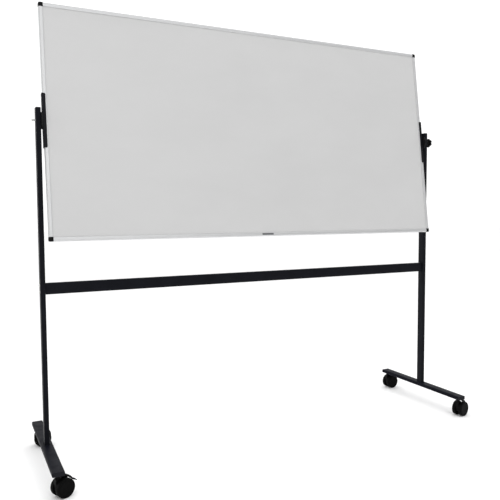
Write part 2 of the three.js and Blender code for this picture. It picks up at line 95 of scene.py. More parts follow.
def flat(name, centre, size, grey):
    """A level rectangle of matt paper."""
    x, y = size[0] / 2, size[1] / 2
    mesh = bpy.data.meshes.new(name)
    mesh.from_pydata([(-x, -y, 0), (x, -y, 0), (x, y, 0), (-x, y, 0)], [], [(0, 1, 2, 3)])
    paper = bpy.data.materials.new(f"{name}_paper")
    paper.use_nodes = True
    shader = paper.node_tree.nodes["Principled BSDF"]
    shader.inputs["Base Color"].default_value = (grey, grey, grey, 1)
    shader.inputs["Roughness"].default_value = 0.9
    shader.inputs["Specular IOR Level"].default_value = 0.1
    mesh.materials.append(paper)
    sheet = bpy.data.objects.new(name, mesh)
    sheet.location = centre
    scene.collection.objects.link(sheet)
    return sheet


def make_studio():
    scene.view_settings.view_transform = "Standard"
    world = bpy.data.worlds.new("studio")
    scene.world = world
    world.use_nodes = True
    tree = world.node_tree
    background = tree.nodes["Background"]
    background.inputs["Strength"].default_value = 1.0
    # White above and behind the object and a dimmer room in front of it.
    direction = tree.nodes.new("ShaderNodeTexCoord")
    lean = tree.nodes.new("ShaderNodeVectorMath")
    lean.operation = "DOT_PRODUCT"
    lean.inputs[1].default_value = (0, 1, 0.9)
    fade = tree.nodes.new("ShaderNodeMapRange")
    fade.interpolation_type = "SMOOTHSTEP"
    for key, number in (("From Min", -0.7), ("From Max", 0.35), ("To Min", 0.3), ("To Max", 1.2)):
        fade.inputs[key].default_value = number
    tree.links.new(direction.outputs["Generated"], lean.inputs[0])
    tree.links.new(lean.outputs["Value"], fade.inputs["Value"])
    tree.links.new(fade.outputs["Result"], background.inputs["Color"])
    area_light("key", (-0.4, -5.0, 3.4), (0, 0, 1.2), (3.4, 3.0), 60)
    top = area_light("top", (0.2, 0.4, 5.2), (0, 0, 0), (5.0, 5.0), 70)
    top.visible_glossy = False

    flat("floor", (0, 0, 0), (60, 60), 0.95)


make_camera()
make_studio()

# ------------------------------------------------------------------ materials


class Graph:
    """A material's nodes, added by type and wired by name."""

    def __init__(self, name):
        self.material = bpy.data.materials.new(name)
        self.material.use_nodes = True
        self.tree = self.material.node_tree
        self.shader = self.tree.nodes["Principled BSDF"]
        self.position = self.add("ShaderNodeTexCoord").outputs["Object"]

    def add(self, kind, **settings):
        node = self.tree.nodes.new(kind)
        for key, value in settings.items():
            setattr(node, key, value)
        return node

    def feed(self, socket, value):
        if isinstance(value, bpy.types.NodeSocket):
            self.tree.links.new(value, socket)
        elif isinstance(value, tuple) and len(value) == 3 and socket.type == "RGBA":
            socket.default_value = (*value, 1)
        else:
            socket.default_value = value

    def stretched(self, scale):
        node = self.add("ShaderNodeMapping")
        self.feed(node.inputs["Vector"], self.position)
        self.feed(node.inputs["Scale"], scale)
        return node.outputs["Vector"]

    def noise(self, scale, detail=3.0, rough=0.55, vector=None):
        node = self.add("ShaderNodeTexNoise")
        self.feed(node.inputs["Vector"], vector or self.position)
        self.feed(node.inputs["Scale"], scale)
        self.feed(node.inputs["Detail"], detail)
        self.feed(node.inputs["Roughness"], rough)
        return node.outputs["Fac"]

    def cells(self, scale):
        node = self.add("ShaderNodeTexVoronoi")
        self.feed(node.inputs["Vector"], self.position)
        self.feed(node.inputs["Scale"], scale)
        return node.outputs["Distance"]

    def spread(self, value, low, high, to_low=0.0, to_high=1.0):
        node = self.add("ShaderNodeMapRange", interpolation_type="SMOOTHSTEP")
        for key, number in zip(("Value", "From Min", "From Max", "To Min", "To Max"),
                               (value, low, high, to_low, to_high)):
            self.feed(node.inputs[key], number)
        return node.outputs["Result"]

    def maths(self, operation, a, b):
        node = self.add("ShaderNodeMath", operation=operation)
        self.feed(node.inputs[0], a)
        self.feed(node.inputs[1], b)
        return node.outputs[0]

    def blend(self, factor, a, b):
        node = self.add("ShaderNodeMix", data_type="RGBA")
        self.feed(node.inputs["Factor"], factor)
        self.feed(node.inputs["A"], a)
        self.feed(node.inputs["B"], b)
        return node.outputs["Result"]

    def edges(self, radius):
        """A mask of the convex and concave edges within that radius."""
        faint, full = 0.004, 0.12
        rounded = self.add("ShaderNodeBevel", samples=4)
        self.feed(rounded.inputs["Radius"], radius)
        geometry = self.add("ShaderNodeNewGeometry")
        dot = self.add("ShaderNodeVectorMath", operation="DOT_PRODUCT")
        self.feed(dot.inputs[0], rounded.outputs["Normal"])
        self.feed(dot.inputs[1], geometry.outputs["Normal"])
        away = self.maths("SUBTRACT", 1.0, dot.outputs["Value"])
        return self.spread(away, faint, full)

    def bump(self, height, strength, distance, normal=None):
        node = self.add("ShaderNodeBump")
        self.feed(node.inputs["Height"], height)
        self.feed(node.inputs["Strength"], strength)
        self.feed(node.inputs["Distance"], distance)
        if normal:
            self.feed(node.inputs["Normal"], normal)
        return node.outputs["Normal"]

    def finish(self, **sockets):
        for key, value in sockets.items():
            self.feed(self.shader.inputs[key.replace("_", " ")], value)
        return self.material


def tinted(colour, factor):
    return tuple(min(1.0, c * factor) for c in colour)


def powder_coat(name, colour, specular):
    """Satin powder coat: a fine orange peel, slow changes of tone, and a painted highlight lightening its edges.
    """
    g = Graph(name)
    tone = g.spread(g.noise(9, 4), 0.3, 0.7)
    base = g.blend(tone, tinted(colour, 0.86), tinted(colour, 1.14))
    specks = g.spread(g.noise(1500, 1, 0.4), 0.6, 0.72)
    base = g.blend(g.maths("MULTIPLY", specks, 0.35), base, tinted(colour, 1.9))
    # Painted highlight: convex and concave edges lightened in patches.
    painted_edge_highlight = g.maths("MULTIPLY", g.edges(0.0012), g.spread(g.noise(60, 4), 0.42, 0.66))
    base = g.blend(g.maths("MULTIPLY", painted_edge_highlight, 0.5), base, tinted(colour, 3.2))
    peel = g.bump(g.noise(900, 2, 0.5), 0.35, 0.0002)
    waves = g.bump(g.noise(190, 2, 0.5), 0.2, 0.0004, peel)
    rough = g.spread(g.noise(26, 4), 0.25, 0.75, 0.4, 0.56)
    return g.finish(Base_Color=base, Roughness=rough, Normal=waves,
                    Specular_IOR_Level=specular, Metallic=0.0)


def moulded(name, colour, rough=(0.42, 0.6), specular=0.25, scratch_and_highlight=1.6):
    """Injection-moulded plastic: spark-eroded grain, faint flow marks, pale scratches and a painted highlight
    along its edges.
    """
    g = Graph(name)
    flow = g.noise(22, 5, 0.6, g.stretched((1, 1, 3.5)))
    base = g.blend(g.spread(flow, 0.3, 0.7), tinted(colour, 0.84), tinted(colour, 1.16))
    # Painted highlight: edges lightened in patches, in the lighter colour that the scratches below also use.
    painted_edge_highlight = g.maths("MULTIPLY", g.edges(0.0009), g.spread(g.noise(140, 3), 0.35, 0.65))
    base = g.blend(g.maths("MULTIPLY", painted_edge_highlight, 0.55), base, tinted(colour, scratch_and_highlight))
    scratches = g.spread(g.noise(120, 6, 0.72, g.stretched((1, 6, 1.4))), 0.62, 0.74)
    base = g.blend(g.maths("MULTIPLY", scratches, 0.3), base, tinted(colour, scratch_and_highlight))
    texture = g.bump(g.cells(1400), 0.3, 0.00012)
    waves = g.bump(g.noise(260, 2), 0.15, 0.0002, texture)
    sheen = g.spread(flow, 0.2, 0.8, *rough)
    return g.finish(Base_Color=base, Roughness=sheen, Normal=waves,
                    Specular_IOR_Level=specular, Metallic=0.0)


def anodised(name, colour):
    """Satin-anodised aluminium extrusion, with die lines along Z, the way each rail is drawn."""
    g = Graph(name)
    lines = g.noise(520, 4, 0.6, g.stretched((1, 1, 0.01)))
    cloud = g.noise(7, 3)
    base = g.blend(g.spread(lines, 0.3, 0.7), tinted(colour, 0.93), tinted(colour, 1.05))
    clouded = g.maths("MULTIPLY", g.spread(cloud, 0.4, 0.75), 0.25)
    base = g.blend(clouded, base, tinted(colour, 0.94))
    rough = g.spread(lines, 0.25, 0.75, 0.4, 0.54)
    brushed = g.bump(lines, 0.25, 0.0001)
    return g.finish(Base_Color=base, Roughness=rough, Normal=brushed, Metallic=0.65)


def zinc_plate(name, colour):
    """Bright zinc plating: mottled, with a faint warm and cool cast and fine turning marks."""
    g = Graph(name)
    mottle = g.spread(g.noise(160, 4, 0.6), 0.35, 0.65)
    base = g.blend(mottle, tinted(colour, 0.84), tinted(colour, 1.08))
    cast = g.spread(g.noise(60, 2), 0.4, 0.7)
    base = g.blend(g.maths("MULTIPLY", cast, 0.35), base, (0.72, 0.66, 0.5))
    marks = g.noise(1800, 3, 0.6, g.stretched((1, 1, 4)))
    rough = g.spread(mottle, 0.0, 1.0, 0.22, 0.4)
    return g.finish(Base_Color=base, Roughness=rough, Metallic=1.0,
                    Normal=g.bump(marks, 0.3, 0.00008))


def enamel(name, colour):
    """Enamelled writing surface: hard and smooth, with wiped haze and ghosts of old strokes."""
    g = Graph(name)
    wipe = g.noise(2.6, 5, 0.62, g.stretched((1, 1, 2.2)))
    base = g.blend(g.spread(wipe, 0.3, 0.72), tinted(colour, 0.985), tinted(colour, 1.012))
    ghosts = g.spread(g.noise(14, 7, 0.7, g.stretched((1, 1, 1.8))), 0.66, 0.8)
    base = g.blend(g.maths("MULTIPLY", ghosts, 0.05), base, tinted(colour, 0.85))
    dust = g.spread(g.noise(420, 2), 0.7, 0.8)
    base = g.blend(g.maths("MULTIPLY", dust, 0.05), base, tinted(colour, 0.7))
    peel = g.bump(g.noise(240, 2, 0.45), 0.05, 0.0003)
    rough = g.spread(wipe, 0.25, 0.75, 0.3, 0.4)
    return g.finish(Base_Color=base, Roughness=rough, Normal=peel,
                    Specular_IOR_Level=0.3, Metallic=0.0)


def fibreboard(name, colour):
    """Pressed wood fibre, matt and rough, with its fibres pressed flat in its thickness."""
    g = Graph(name)
    fibres = g.noise(420, 6, 0.7, g.stretched((1, 5, 1)))
    base = g.blend(g.spread(fibres, 0.3, 0.7), tinted(colour, 0.72), tinted(colour, 1.2))
    return g.finish(Base_Color=base, Roughness=g.spread(fibres, 0.2, 0.8, 0.75, 0.95),
                    Normal=g.bump(fibres, 0.6, 0.0004), Specular_IOR_Level=0.2)


COAT = powder_coat("black_powder_coat", (0.0055, 0.006, 0.0086), 0.06)
# The feet get a darker, bluer copy of the stand's black coat: painted shade for how the feet are lit.
SHADED_FOOT_COAT = powder_coat("black_powder_coat_foot_shaded", (0.005, 0.0053, 0.0088), 0.035)
BRACKET_COAT = powder_coat("bracket_coat", (0.0065, 0.0068, 0.009), 0.1)
CAP = moulded("cap_polymer", (0.0115, 0.0118, 0.015), specular=0.08)
DISC = moulded("disc_polymer", (0.006, 0.0062, 0.007), specular=0.12)
CORNER = moulded("corner_polymer", (0.003, 0.003, 0.0034), rough=(0.36, 0.5), specular=0.1)
KNOB = moulded("knob_polymer", (0.003, 0.003, 0.0034), rough=(0.38, 0.52), specular=0.1)
HOOD = moulded("castor_polymer", (0.0024, 0.0024, 0.0024), rough=(0.4, 0.55), specular=0.06)
WHEEL = moulded("wheel_polymer", (0.0028, 0.0028, 0.0028), (0.46, 0.62), 0.04, scratch_and_highlight=2.2)
RAIL = anodised("anodised_aluminium", (0.6, 0.605, 0.61))
TYRE = moulded("tyre_polymer", (0.0032, 0.0032, 0.0032), (0.54, 0.7), 0.04, scratch_and_highlight=2.4)
ENAMEL = enamel("writing_enamel", (0.56, 0.56, 0.56))
CORE = fibreboard("core_fibreboard", (0.4, 0.27, 0.14))
TAB = moulded("tab_polymer", (0.11, 0.115, 0.12), rough=(0.35, 0.5), scratch_and_highlight=1.3)
ZINC = zinc_plate("zinc_plate", (0.62, 0.64, 0.66))

# ------------------------------------------------------------------ mesh helpers


def piece_of(name, vertices, faces):
    """An object from vertices in millimetres."""
    mesh = bpy.data.meshes.new(name)
    mesh.from_pydata([[c * MM for c in v] for v in vertices], [], faces)
    made = bmesh.new()
    made.from_mesh(mesh)
    bmesh.ops.remove_doubles(made, verts=made.verts, dist=1e-7)
    bmesh.ops.recalc_face_normals(made, faces=made.faces)
    made.to_mesh(mesh)
    made.free()
    piece = bpy.data.objects.new(name, mesh)
    scene.collection.objects.link(piece)
    return piece


def applied(piece):
    """Applies a piece's modifiers."""
    bpy.context.view_layer.update()
    graph = bpy.context.evaluated_depsgraph_get()
    mesh = bpy.data.meshes.new_from_object(piece.evaluated_get(graph))
    piece.modifiers.clear()
    mesh.name = piece.name
    piece.data = mesh
    return piece


def smooth(piece, angle=35):
    piece.data.shade_smooth()
    piece.data.set_sharp_from_angle(angle=math.radians(angle))
    return piece


def rounded(piece, width, segments=3, angle=30):
    """Rounds the edges sharper than the angle by a width in millimetres."""
    piece.data.shade_smooth()
    bevel = piece.modifiers.new("rounding", "BEVEL")
    bevel.width = width * MM
    bevel.segments = segments
    bevel.limit_method = "ANGLE"
    bevel.angle_limit = math.radians(angle)
    bevel.harden_normals = True
    return applied(piece)


def combined(piece, *others, operation="UNION"):
    """Joins or cuts a piece with others, which are used up."""
    for other in others:
        step = piece.modifiers.new("boolean", "BOOLEAN")
        step.operation = operation
        step.object = other
        step.solver = "EXACT"
    applied(piece)
    for other in others:
        bpy.data.objects.remove(other)
    return piece


def cut(piece, *others):
    return combined(piece, *others, operation="DIFFERENCE")


def softened(piece, voxel=0.7, passes=6, keep=0.5):
    """Remeshes a piece evenly and relaxes it, which fillets every edge as a mould does."""
    remesh = piece.modifiers.new("remesh", "REMESH")
    remesh.mode = "VOXEL"
    remesh.voxel_size = voxel * MM
    relax = piece.modifiers.new("relax", "SMOOTH")
    relax.factor = 0.5
    relax.iterations = passes
    thin = piece.modifiers.new("thin", "DECIMATE")
    thin.ratio = keep
    applied(piece)
    piece.data.shade_smooth()
    return piece


def placed(piece, matrix, material, *nodes, body=None):
    """Puts a piece in place. It stands in for the nodes and rides on their body."""
    piece.matrix_world = matrix
    piece.data.materials.clear()
    piece.data.materials.append(material)
    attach(piece, body or body_of[nodes[0]])
    if nodes:
        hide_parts(*nodes)
    return piece


def dressed(node, material):
    """Gives a modelled part that stays as it is a better material."""
    for slot in frame["nodes"][node].material_slots:
        slot.link = "OBJECT"
        slot.material = material


def arc(x, y, radius, start, end, steps):
    """Points on an arc, in degrees."""
    angles = [math.radians(start + (end - start) * i / steps) for i in range(steps + 1)]
    return [(x + radius * math.cos(a), y + radius * math.sin(a)) for a in angles]


def rounded_rectangle(width, height, radius, steps=6):
    x, y = width / 2 - radius, height / 2 - radius
    return (arc(x, y, radius, 0, 90, steps) + arc(-x, y, radius, 90, 180, steps)
            + arc(-x, -y, radius, 180, 270, steps) + arc(x, -y, radius, 270, 360, steps))


def prism(name, outline, low, high):
    """A closed solid over an outline, along Z."""
    n = len(outline)
    vertices = [(x, y, low) for x, y in outline] + [(x, y, high) for x, y in outline]
    faces = [tuple(range(n))[::-1], tuple(range(n, 2 * n))]
    faces += [(i, (i + 1) % n, n + (i + 1) % n, n + i) for i in range(n)]
    return piece_of(name, vertices, faces)


def tube(name, outer, inner, low, high):
    """An open tube along Z between two outlines with as many points each."""
    n = len(outer)
    vertices = [(x, y, z) for z in (low, high) for loop in (outer, inner) for x, y in loop]
    faces = []
    for i in range(n):
        j = (i + 1) % n
        faces += [(i, j, 2 * n + j, 2 * n + i), (n + j, n + i, 3 * n + i, 3 * n + j),
                  (j, i, n + i, n + j), (2 * n + i, 2 * n + j, 3 * n + j, 3 * n + i)]
    return piece_of(name, vertices, faces)


def lofted(name, rings):
    """A closed solid through rings of equally many points, from the first to the last."""
    n = len(rings[0])
    vertices = [v for ring in rings for v in ring]
    faces = [tuple(range(n))[::-1], tuple(range((len(rings) - 1) * n, len(rings) * n))]
    for k in range(len(rings) - 1):
        for i in range(n):
            j = (i + 1) % n
            faces.append((k * n + i, k * n + j, (k + 1) * n + j, (k + 1) * n + i))
    return piece_of(name, vertices, faces)


def turned(name, profile, segments=48):
    """Turns a profile of (radius, height) about Z. It starts and ends on the axis, or closes."""
    spokes = [2 * math.pi * i / segments for i in range(segments)]
    vertices, rows = [], []
    for radius, height in profile:
        if radius < 1e-6:
            rows.append([len(vertices)] * segments)
            vertices.append((0, 0, height))
        else:
            rows.append(list(range(len(vertices), len(vertices) + segments)))
            vertices += [(radius * math.cos(a), radius * math.sin(a), height) for a in spokes]
    pairs = list(zip(rows, rows[1:]))
    if profile[0][0] > 1e-6:
        pairs.append((rows[-1], rows[0]))
    faces = []
    for lower, upper in pairs:
        for i in range(segments):
            j = (i + 1) % segments
            face = list(dict.fromkeys([lower[i], lower[j], upper[j], upper[i]]))
            if len(face) > 2:
                faces.append(face)
    return piece_of(name, vertices, faces)


def rod(name, radius, low, high, axis="z", segments=24, at=(0, 0)):
    """A round bar between two places along an axis; at gives the other two coordinates."""
    piece = turned(name, [(0, low), (radius, low), (radius, high), (0, high)], segments)
    turn = {"x": Matrix(((0, 0, 1), (1, 0, 0), (0, 1, 0))),
            "y": Matrix(((0, 1, 0), (0, 0, 1), (1, 0, 0))), "z": Matrix.Identity(3)}[axis]
    offset = {"x": (0, *at), "y": (at[0], 0, at[1]), "z": (*at, 0)}[axis]
    piece.data.transform(Matrix.Translation(Vector(offset) * MM) @ turn.to_4x4())
    return piece


def block(name, low, high):
    """A box between two corners, to be cut or joined."""
    outline = [(low[0], low[1]), (high[0], low[1]), (high[0], high[1]), (low[0], high[1])]
    return prism(name, outline, low[2], high[2])


# ------------------------------------------------------------------ places

front_normal = Vector(mounts["front_writing_face"]["axis"])
tilt = math.atan2(front_normal.z, -front_normal.y)
BOARD_PLACE = Matrix.Translation(pivot) @ Matrix.Rotation(-tilt, 4, "X")
SIDES = (("left", -1), ("right", 1))


def outward(sign):
    """Turns local +Z to point out of the stand on that side."""
    return Matrix.Rotation(sign * math.pi / 2, 4, "Y")


def at_side(sign, x, z):
    """A place in the stand: x out from its middle plane and z above the floor, in mm."""
    return Matrix.Translation((pivot.x + sign * x * MM, pivot.y, z * MM))


def at_castor(name):
    """A castor's frame: under its stem on the floor, trailing along +X, with its axle along Y."""
    across = Vector(joints[f"roll_1_{name}"]["axis"])
    up = Vector((0, 0, 1))
    turn = Matrix((across.cross(up), across, up)).transposed()
    stem = joints[f"swivel_{name}"]["pos_m"]
    return Matrix.Translation((stem[0], stem[1], 0)) @ turn.to_4x4()


def moved(x=0, y=0, z=0):
    return Matrix.Translation((x * MM, y * MM, z * MM))


def upright(piece):
    """Stands a solid drawn over X and Y up, so that its outline is over X and Z."""
    piece.data.transform(Matrix.Rotation(math.pi / 2, 4, "X"))
    return piece


def curve(start, middle, end, steps=8):
    """Points on a quadratic curve, without its start."""
    return [tuple((1 - t) ** 2 * a + 2 * t * (1 - t) * b + t * t * c
                  for a, b, c in zip(start, middle, end))
            for t in (i / steps for i in range(1, steps + 1))]


def through(points, steps=4):
    """A smooth curve through points, with all of them on it."""
    ends = [points[0], *points, points[-1]]
    line = [points[0]]
    for a, b, c, d in zip(ends, ends[1:], ends[2:], ends[3:]):
        for i in range(1, steps + 1):
            t = i / steps
            line.append(tuple(
                0.5 * (2 * q + (r - p) * t + (2 * p - 5 * q + 4 * r - s) * t * t
                       + (3 * q - p - 3 * r + s) * t ** 3)
                for p, q, r, s in zip(a, b, c, d)))
    return line


# ------------------------------------------------------------------ stand

POST_SIZE, FOOT_SIZE, BAR_SIZE = (20, 40, 2.2), (48, 19, 5), (48, 20, 2.2)
WALL = 1.5
POST_OUTER, POST_INNER = 1030, 1010
POST_MIDDLE = (POST_OUTER + POST_INNER) / 2
POST_TOP, FOOT_LENGTH, FOOT_MIDDLE, FOOT_TOP = 1518, 640, 100.5, 110
BAR_MIDDLE, BOLT_SPACING, PIVOT_HEIGHT = 771, 30, 1466
CAP_FLANGE, CASTOR_Y = 3, 297
STUD_HOLE, BOLT_HOLE, STEM_HOLE = 4.3, 3.3, 5.3    # radii
THROUGH = 12    # far enough from the middle of a part to cut right through it
BOLT_HEIGHTS = (BAR_MIDDLE - BOLT_SPACING / 2, BAR_MIDDLE + BOLT_SPACING / 2)


def box_tube(name, size, low, high):
    width, height, corner = size
    outer = rounded_rectangle(width, height, corner)
    inner = rounded_rectangle(width - 2 * WALL, height - 2 * WALL, max(corner - WALL, 0.5))
    return tube(name, outer, inner, low, high)


def weld_bead(name, width, height, radius):
    """A rippled fillet weld round the foot of a tube, from 0 up."""
    path = rounded_rectangle(width, height, 2.2, 10)
    loop = []
    for (x0, y0), (x1, y1) in zip(path, path[1:] + path[:1]):
        length = math.hypot(x1 - x0, y1 - y0)
        count = max(1, round(length / 0.5))
        loop += [(x0 + (x1 - x0) * i / count, y0 + (y1 - y0) * i / count) for i in range(count)]
    count, ring = len(loop), 8
    vertices, faces, run = [], [], 0
    for i, (x, y) in enumerate(loop):
        ahead, behind = loop[(i + 1) % count], loop[i - 1]
        along = Vector((ahead[0] - behind[0], ahead[1] - behind[1])).normalized()
        out = Vector((along.y, -along.x))
        run += math.hypot(ahead[0] - x, ahead[1] - y)
        swell = radius * (1 + 0.1 * math.sin(run * 2.1) + 0.05 * math.sin(run * 0.47))
        for k in range(ring):
            a = 2 * math.pi * k / ring
            reach = 0.1 + swell * math.cos(a) * 0.9
            vertices.append((x + out.x * reach, y + out.y * reach, max(0, swell * math.sin(a))))
    for i in range(count):
        j = (i + 1) % count
        for k in range(ring):
            m = (k + 1) % ring
            faces.append((i * ring + k, i * ring + m, j * ring + m, j * ring + k))
    return smooth(piece_of(name, vertices, faces), 50)


def plug_cap(name, size, rim):
    """A moulded plug: a flange with a rounded rim from 0 up, and hollow walls below it."""
    width, height, corner = size
    flange = prism(name, rounded_rectangle(width, height, corner, 8), 0, CAP_FLANGE)
    shape = bmesh.new()
    shape.from_mesh(flange.data)
    top = [e for e in shape.edges if all(v.co.z > (CAP_FLANGE - 0.01) * MM for v in e.verts)]
    bmesh.ops.bevel(shape, geom=top, offset=rim * MM, segments=5, profile=0.5, affect="EDGES")
    shape.to_mesh(flange.data)
    shape.free()
    inset = 2 * (WALL + GAP) + 2
    plug = block("plug", (-(width - inset) / 2, -(height - inset) / 2, -10.5),
                 ((width - inset) / 2, (height - inset) / 2, 0.5))
    hollow = block("hollow", (-(width - inset) / 2 + 2, -(height - inset) / 2 + 2, -11),
                   ((width - inset) / 2 - 2, (height - inset) / 2 - 2, -1))
    return smooth(cut(combined(flange, plug), hollow), 40)


def make_posts():
    low, high = FOOT_TOP + GAP, POST_TOP - CAP_FLANGE - GAP
    for side, sign in SIDES:
        post = box_tube(f"post_tube_{side}", POST_SIZE, low, high)
        holes = [rod("hole", STUD_HOLE, -THROUGH, THROUGH, "x", 32, (0, PIVOT_HEIGHT))]
        holes += [rod("hole", BOLT_HOLE, -THROUGH, THROUGH, "x", 24, (0, height))
                  for height in BOLT_HEIGHTS]
        cut(post, *holes)
        placed(smooth(post), at_side(sign, POST_MIDDLE, 0), COAT, f"post_{side}")
        bead = weld_bead(f"weld_{side}", *POST_SIZE[:2], 2.4)
        placed(bead, at_side(sign, POST_MIDDLE, FOOT_TOP), COAT, body="stand")
        cap = plug_cap(f"post_plug_{side}", (*POST_SIZE[:2], 3.4), 2.3)
        placed(cap, at_side(sign, POST_MIDDLE, POST_TOP - CAP_FLANGE), CAP, f"post_cap_{side}")


def make_feet():
    half = FOOT_LENGTH / 2 - CAP_FLANGE - GAP
    for side, sign in SIDES:
        foot = upright(box_tube(f"foot_tube_{side}", FOOT_SIZE, -half, half))
        cut(foot, *(rod("hole", STEM_HOLE, -THROUGH, 0, "z", 32, (0, y))
                    for y in (-CASTOR_Y, CASTOR_Y)))
        place = at_side(sign, POST_MIDDLE, FOOT_MIDDLE)
        placed(smooth(foot), place, SHADED_FOOT_COAT, f"foot_{side}")
        for end, direction in (("front", -1), ("back", 1)):
            cap = plug_cap(f"foot_plug_{end}_{side}", FOOT_SIZE, 1.3)
            turn = Matrix.Rotation(-direction * math.pi / 2, 4, "X")
            spot = moved(y=direction * (FOOT_LENGTH / 2 - CAP_FLANGE))
            placed(cap, place @ spot @ turn, CAP, f"foot_cap_{end}_{side}")


def button_bolt(name):
    """A domed head from 0 up with a hexagon socket, and its shank below."""
    dome = [(6.0 * math.cos(a * 0.88), 0.7 + 3.7 * math.sin(a))
            for a in (math.pi / 2 * i / 10 for i in range(11))]
    shank = [(0, -44), (2.4, -44), (3, -43.4), (3, 0), (5.7, 0), (6, 0.25)]
    bolt = turned(name, shank + dome + [(0, dome[-1][1])], 40)
    socket = [(2.3 * math.cos(math.pi / 3 * i), 2.3 * math.sin(math.pi / 3 * i)) for i in range(6)]
    return smooth(cut(bolt, prism("socket", socket, 2.2, 6)), 32)


def make_crossbar():
    end = POST_INNER - GAP
    bar = box_tube("crossbar_tube", BAR_SIZE, -end, end)
    place = at_side(1, 0, BAR_MIDDLE) @ outward(1)
    placed(smooth(bar), place, COAT, "crossbar")
    for side, sign in SIDES:
        dressed(f"crossbar_insert_{side}", ZINC)
        for level, height in zip(("lower", "upper"), BOLT_HEIGHTS):
            bolt = button_bolt(f"button_bolt_{level}_{side}")
            place = at_side(sign, POST_OUTER + GAP, height) @ outward(sign)
            placed(bolt, place, ZINC, f"crossbar_bolt_{level}_{side}")


# ------------------------------------------------------------------ pivots and knob

DISC_START, WASHER_START, KNOB_START = 1003.6, 1030.3, 1032.2
LEFT_STUD_END, STUD_IN_KNOB = 1045, 23
KNOB_LOBES, LOBE_DEPTH = 6, 4.0


def make_discs():
    """Moulded friction discs with rounded rims and a ring on each face."""
    rim = arc(33.6, 1.4, 1.4, -90, 0, 5) + arc(33.6, 4.7, 1.4, 0, 90, 5)
    profile = [(8.3, 0), (27, 0), (27.3, 0.5), (28.7, 0.5), (29, 0), *rim,
               (29, 6.1), (28.7, 5.6), (27.3, 5.6), (27, 6.1), (4.3, 6.1), (4.3, 2.3), (8.3, 2.3)]
    for side, sign in SIDES:
        disc = smooth(turned(f"friction_disc_{side}", profile, 96))
        place = at_side(sign, DISC_START, PIVOT_HEIGHT) @ outward(sign)
        placed(disc, place, DISC, f"pivot_disc_{side}")


def threaded_stud(name, length):
    """A collar, a plain neck and an M8 thread cut as a helix up to a chamfered end."""
    radius, pitch, depth, around = 4.0, 1.25, 0.62, 30
    neck_end, row_height = 5, 0.21
    # The collar and neck as (height, radius).
    rows = [(0.0, 8.0), (0.25, 8.0), (1.75, 8.0), (2.0, 7.75), (2.0, 4.0), (4.0, 4.0)]
    rings = [[(r * math.cos(2 * math.pi * i / around), r * math.sin(2 * math.pi * i / around), z)
              for i in range(around)] for z, r in rows]
    steps = round((length - neck_end) / row_height)
    for step in range(steps + 1):
        z = neck_end + (length - neck_end) * step / steps
        ring = []
        for i in range(around):
            turn = (z / pitch - i / around) % 1
            groove = max(0.0, min(1.0, 1.25 - abs(turn - 0.5) * 3.2))
            r = radius - depth * groove * min(1.0, (z - neck_end) / 1.5)
            r = min(r, radius - 1.0 + (length - z))
            a = 2 * math.pi * i / around
            ring.append((r * math.cos(a), r * math.sin(a), z))
        rings.append(ring)
    return smooth(lofted(name, rings), 60)


def lobed_knob(name):
    """A lobed head with a soft rim and a domed face, on a narrow round neck."""
    # Each row is a radius, a height and how much of the lobes' depth it has.
    rows = [(10.4, 0, 0), (11, 0.6, 0), (11, 9, 0), (11.2, 12, 0), (12.2, 14.2, 0.1),
            (14.5, 15.4, 0.3), (18, 15.9, 0.7), (21, 16.2, 1), (22.8, 17, 1), (23.7, 18.3, 1),
            (24, 20, 1), (24, 23, 1), (23.9, 25.5, 1), (23.4, 27.4, 1), (22.2, 29, 1),
            (20.4, 30, 0.9), (18, 30.9, 0.55), (15, 31.9, 0.25), (11, 33, 0.05), (6, 33.7, 0),
            (2, 33.95, 0)]
    around = 120
    rings = []
    for base, z, lobes in rows:
        ring = []
        for i in range(around):
            a = 2 * math.pi * i / around
            dip = 0.5 * (1 - math.cos(KNOB_LOBES * a))
            r = base - LOBE_DEPTH * lobes * dip
            ring.append((r * math.cos(a), r * math.sin(a), z))
        rings.append(ring)
    knob = cut(lofted(name, rings), rod("bore", STUD_HOLE, -1, STUD_IN_KNOB + 1, "z", 40))
    return smooth(knob, 40)


def make_pivots():
    for side, sign, end in (("left", -1, LEFT_STUD_END), ("right", 1, KNOB_START + STUD_IN_KNOB)):
        stud = threaded_stud(f"stud_{side}", end - DISC_START)
        place = BOARD_PLACE @ moved(x=sign * DISC_START) @ outward(sign)
        placed(stud, place, ZINC, f"pivot_spindle_{side}")
    dressed("pivot_nut_left", ZINC)
    ring = [(4.3, 0.2), (4.5, 0), (11.7, 0), (12, 0.3),
            (12, 1.1), (11.5, 1.6), (4.5, 1.6), (4.3, 1.4)]
    washer = smooth(turned("washer_ring", ring, 64))
    placed(washer, at_side(1, WASHER_START, PIVOT_HEIGHT) @ outward(1), ZINC, "knob_washer")
    place = at_side(1, KNOB_START, PIVOT_HEIGHT) @ outward(1)
    placed(lobed_knob("knob_head"), place, KNOB, "locking_knob")


# ------------------------------------------------------------------ board

BOARD_WIDTH, BOARD_HEIGHT = 2000, 1000
RAIL_FACE, CORNER_SIZE = 17, 18.5
BRACKET_SCREWS = (-96, -60, 60, 96)    # heights from the pivot


def rail_outline():
    """Half of the section, mirrored: x runs from the inner edge outward, y through its depth."""
    half = [(6, 7.3), (0, 7.3), (0, 8.4)]
    half += curve((0, 8.4), (0.6, 10), (4, 10), 8)
    half += [(11, 10)]
    half += curve((11, 10), (17, 10), (17, 4), 16)
    return [(x, -y) for x, y in half] + half[::-1]


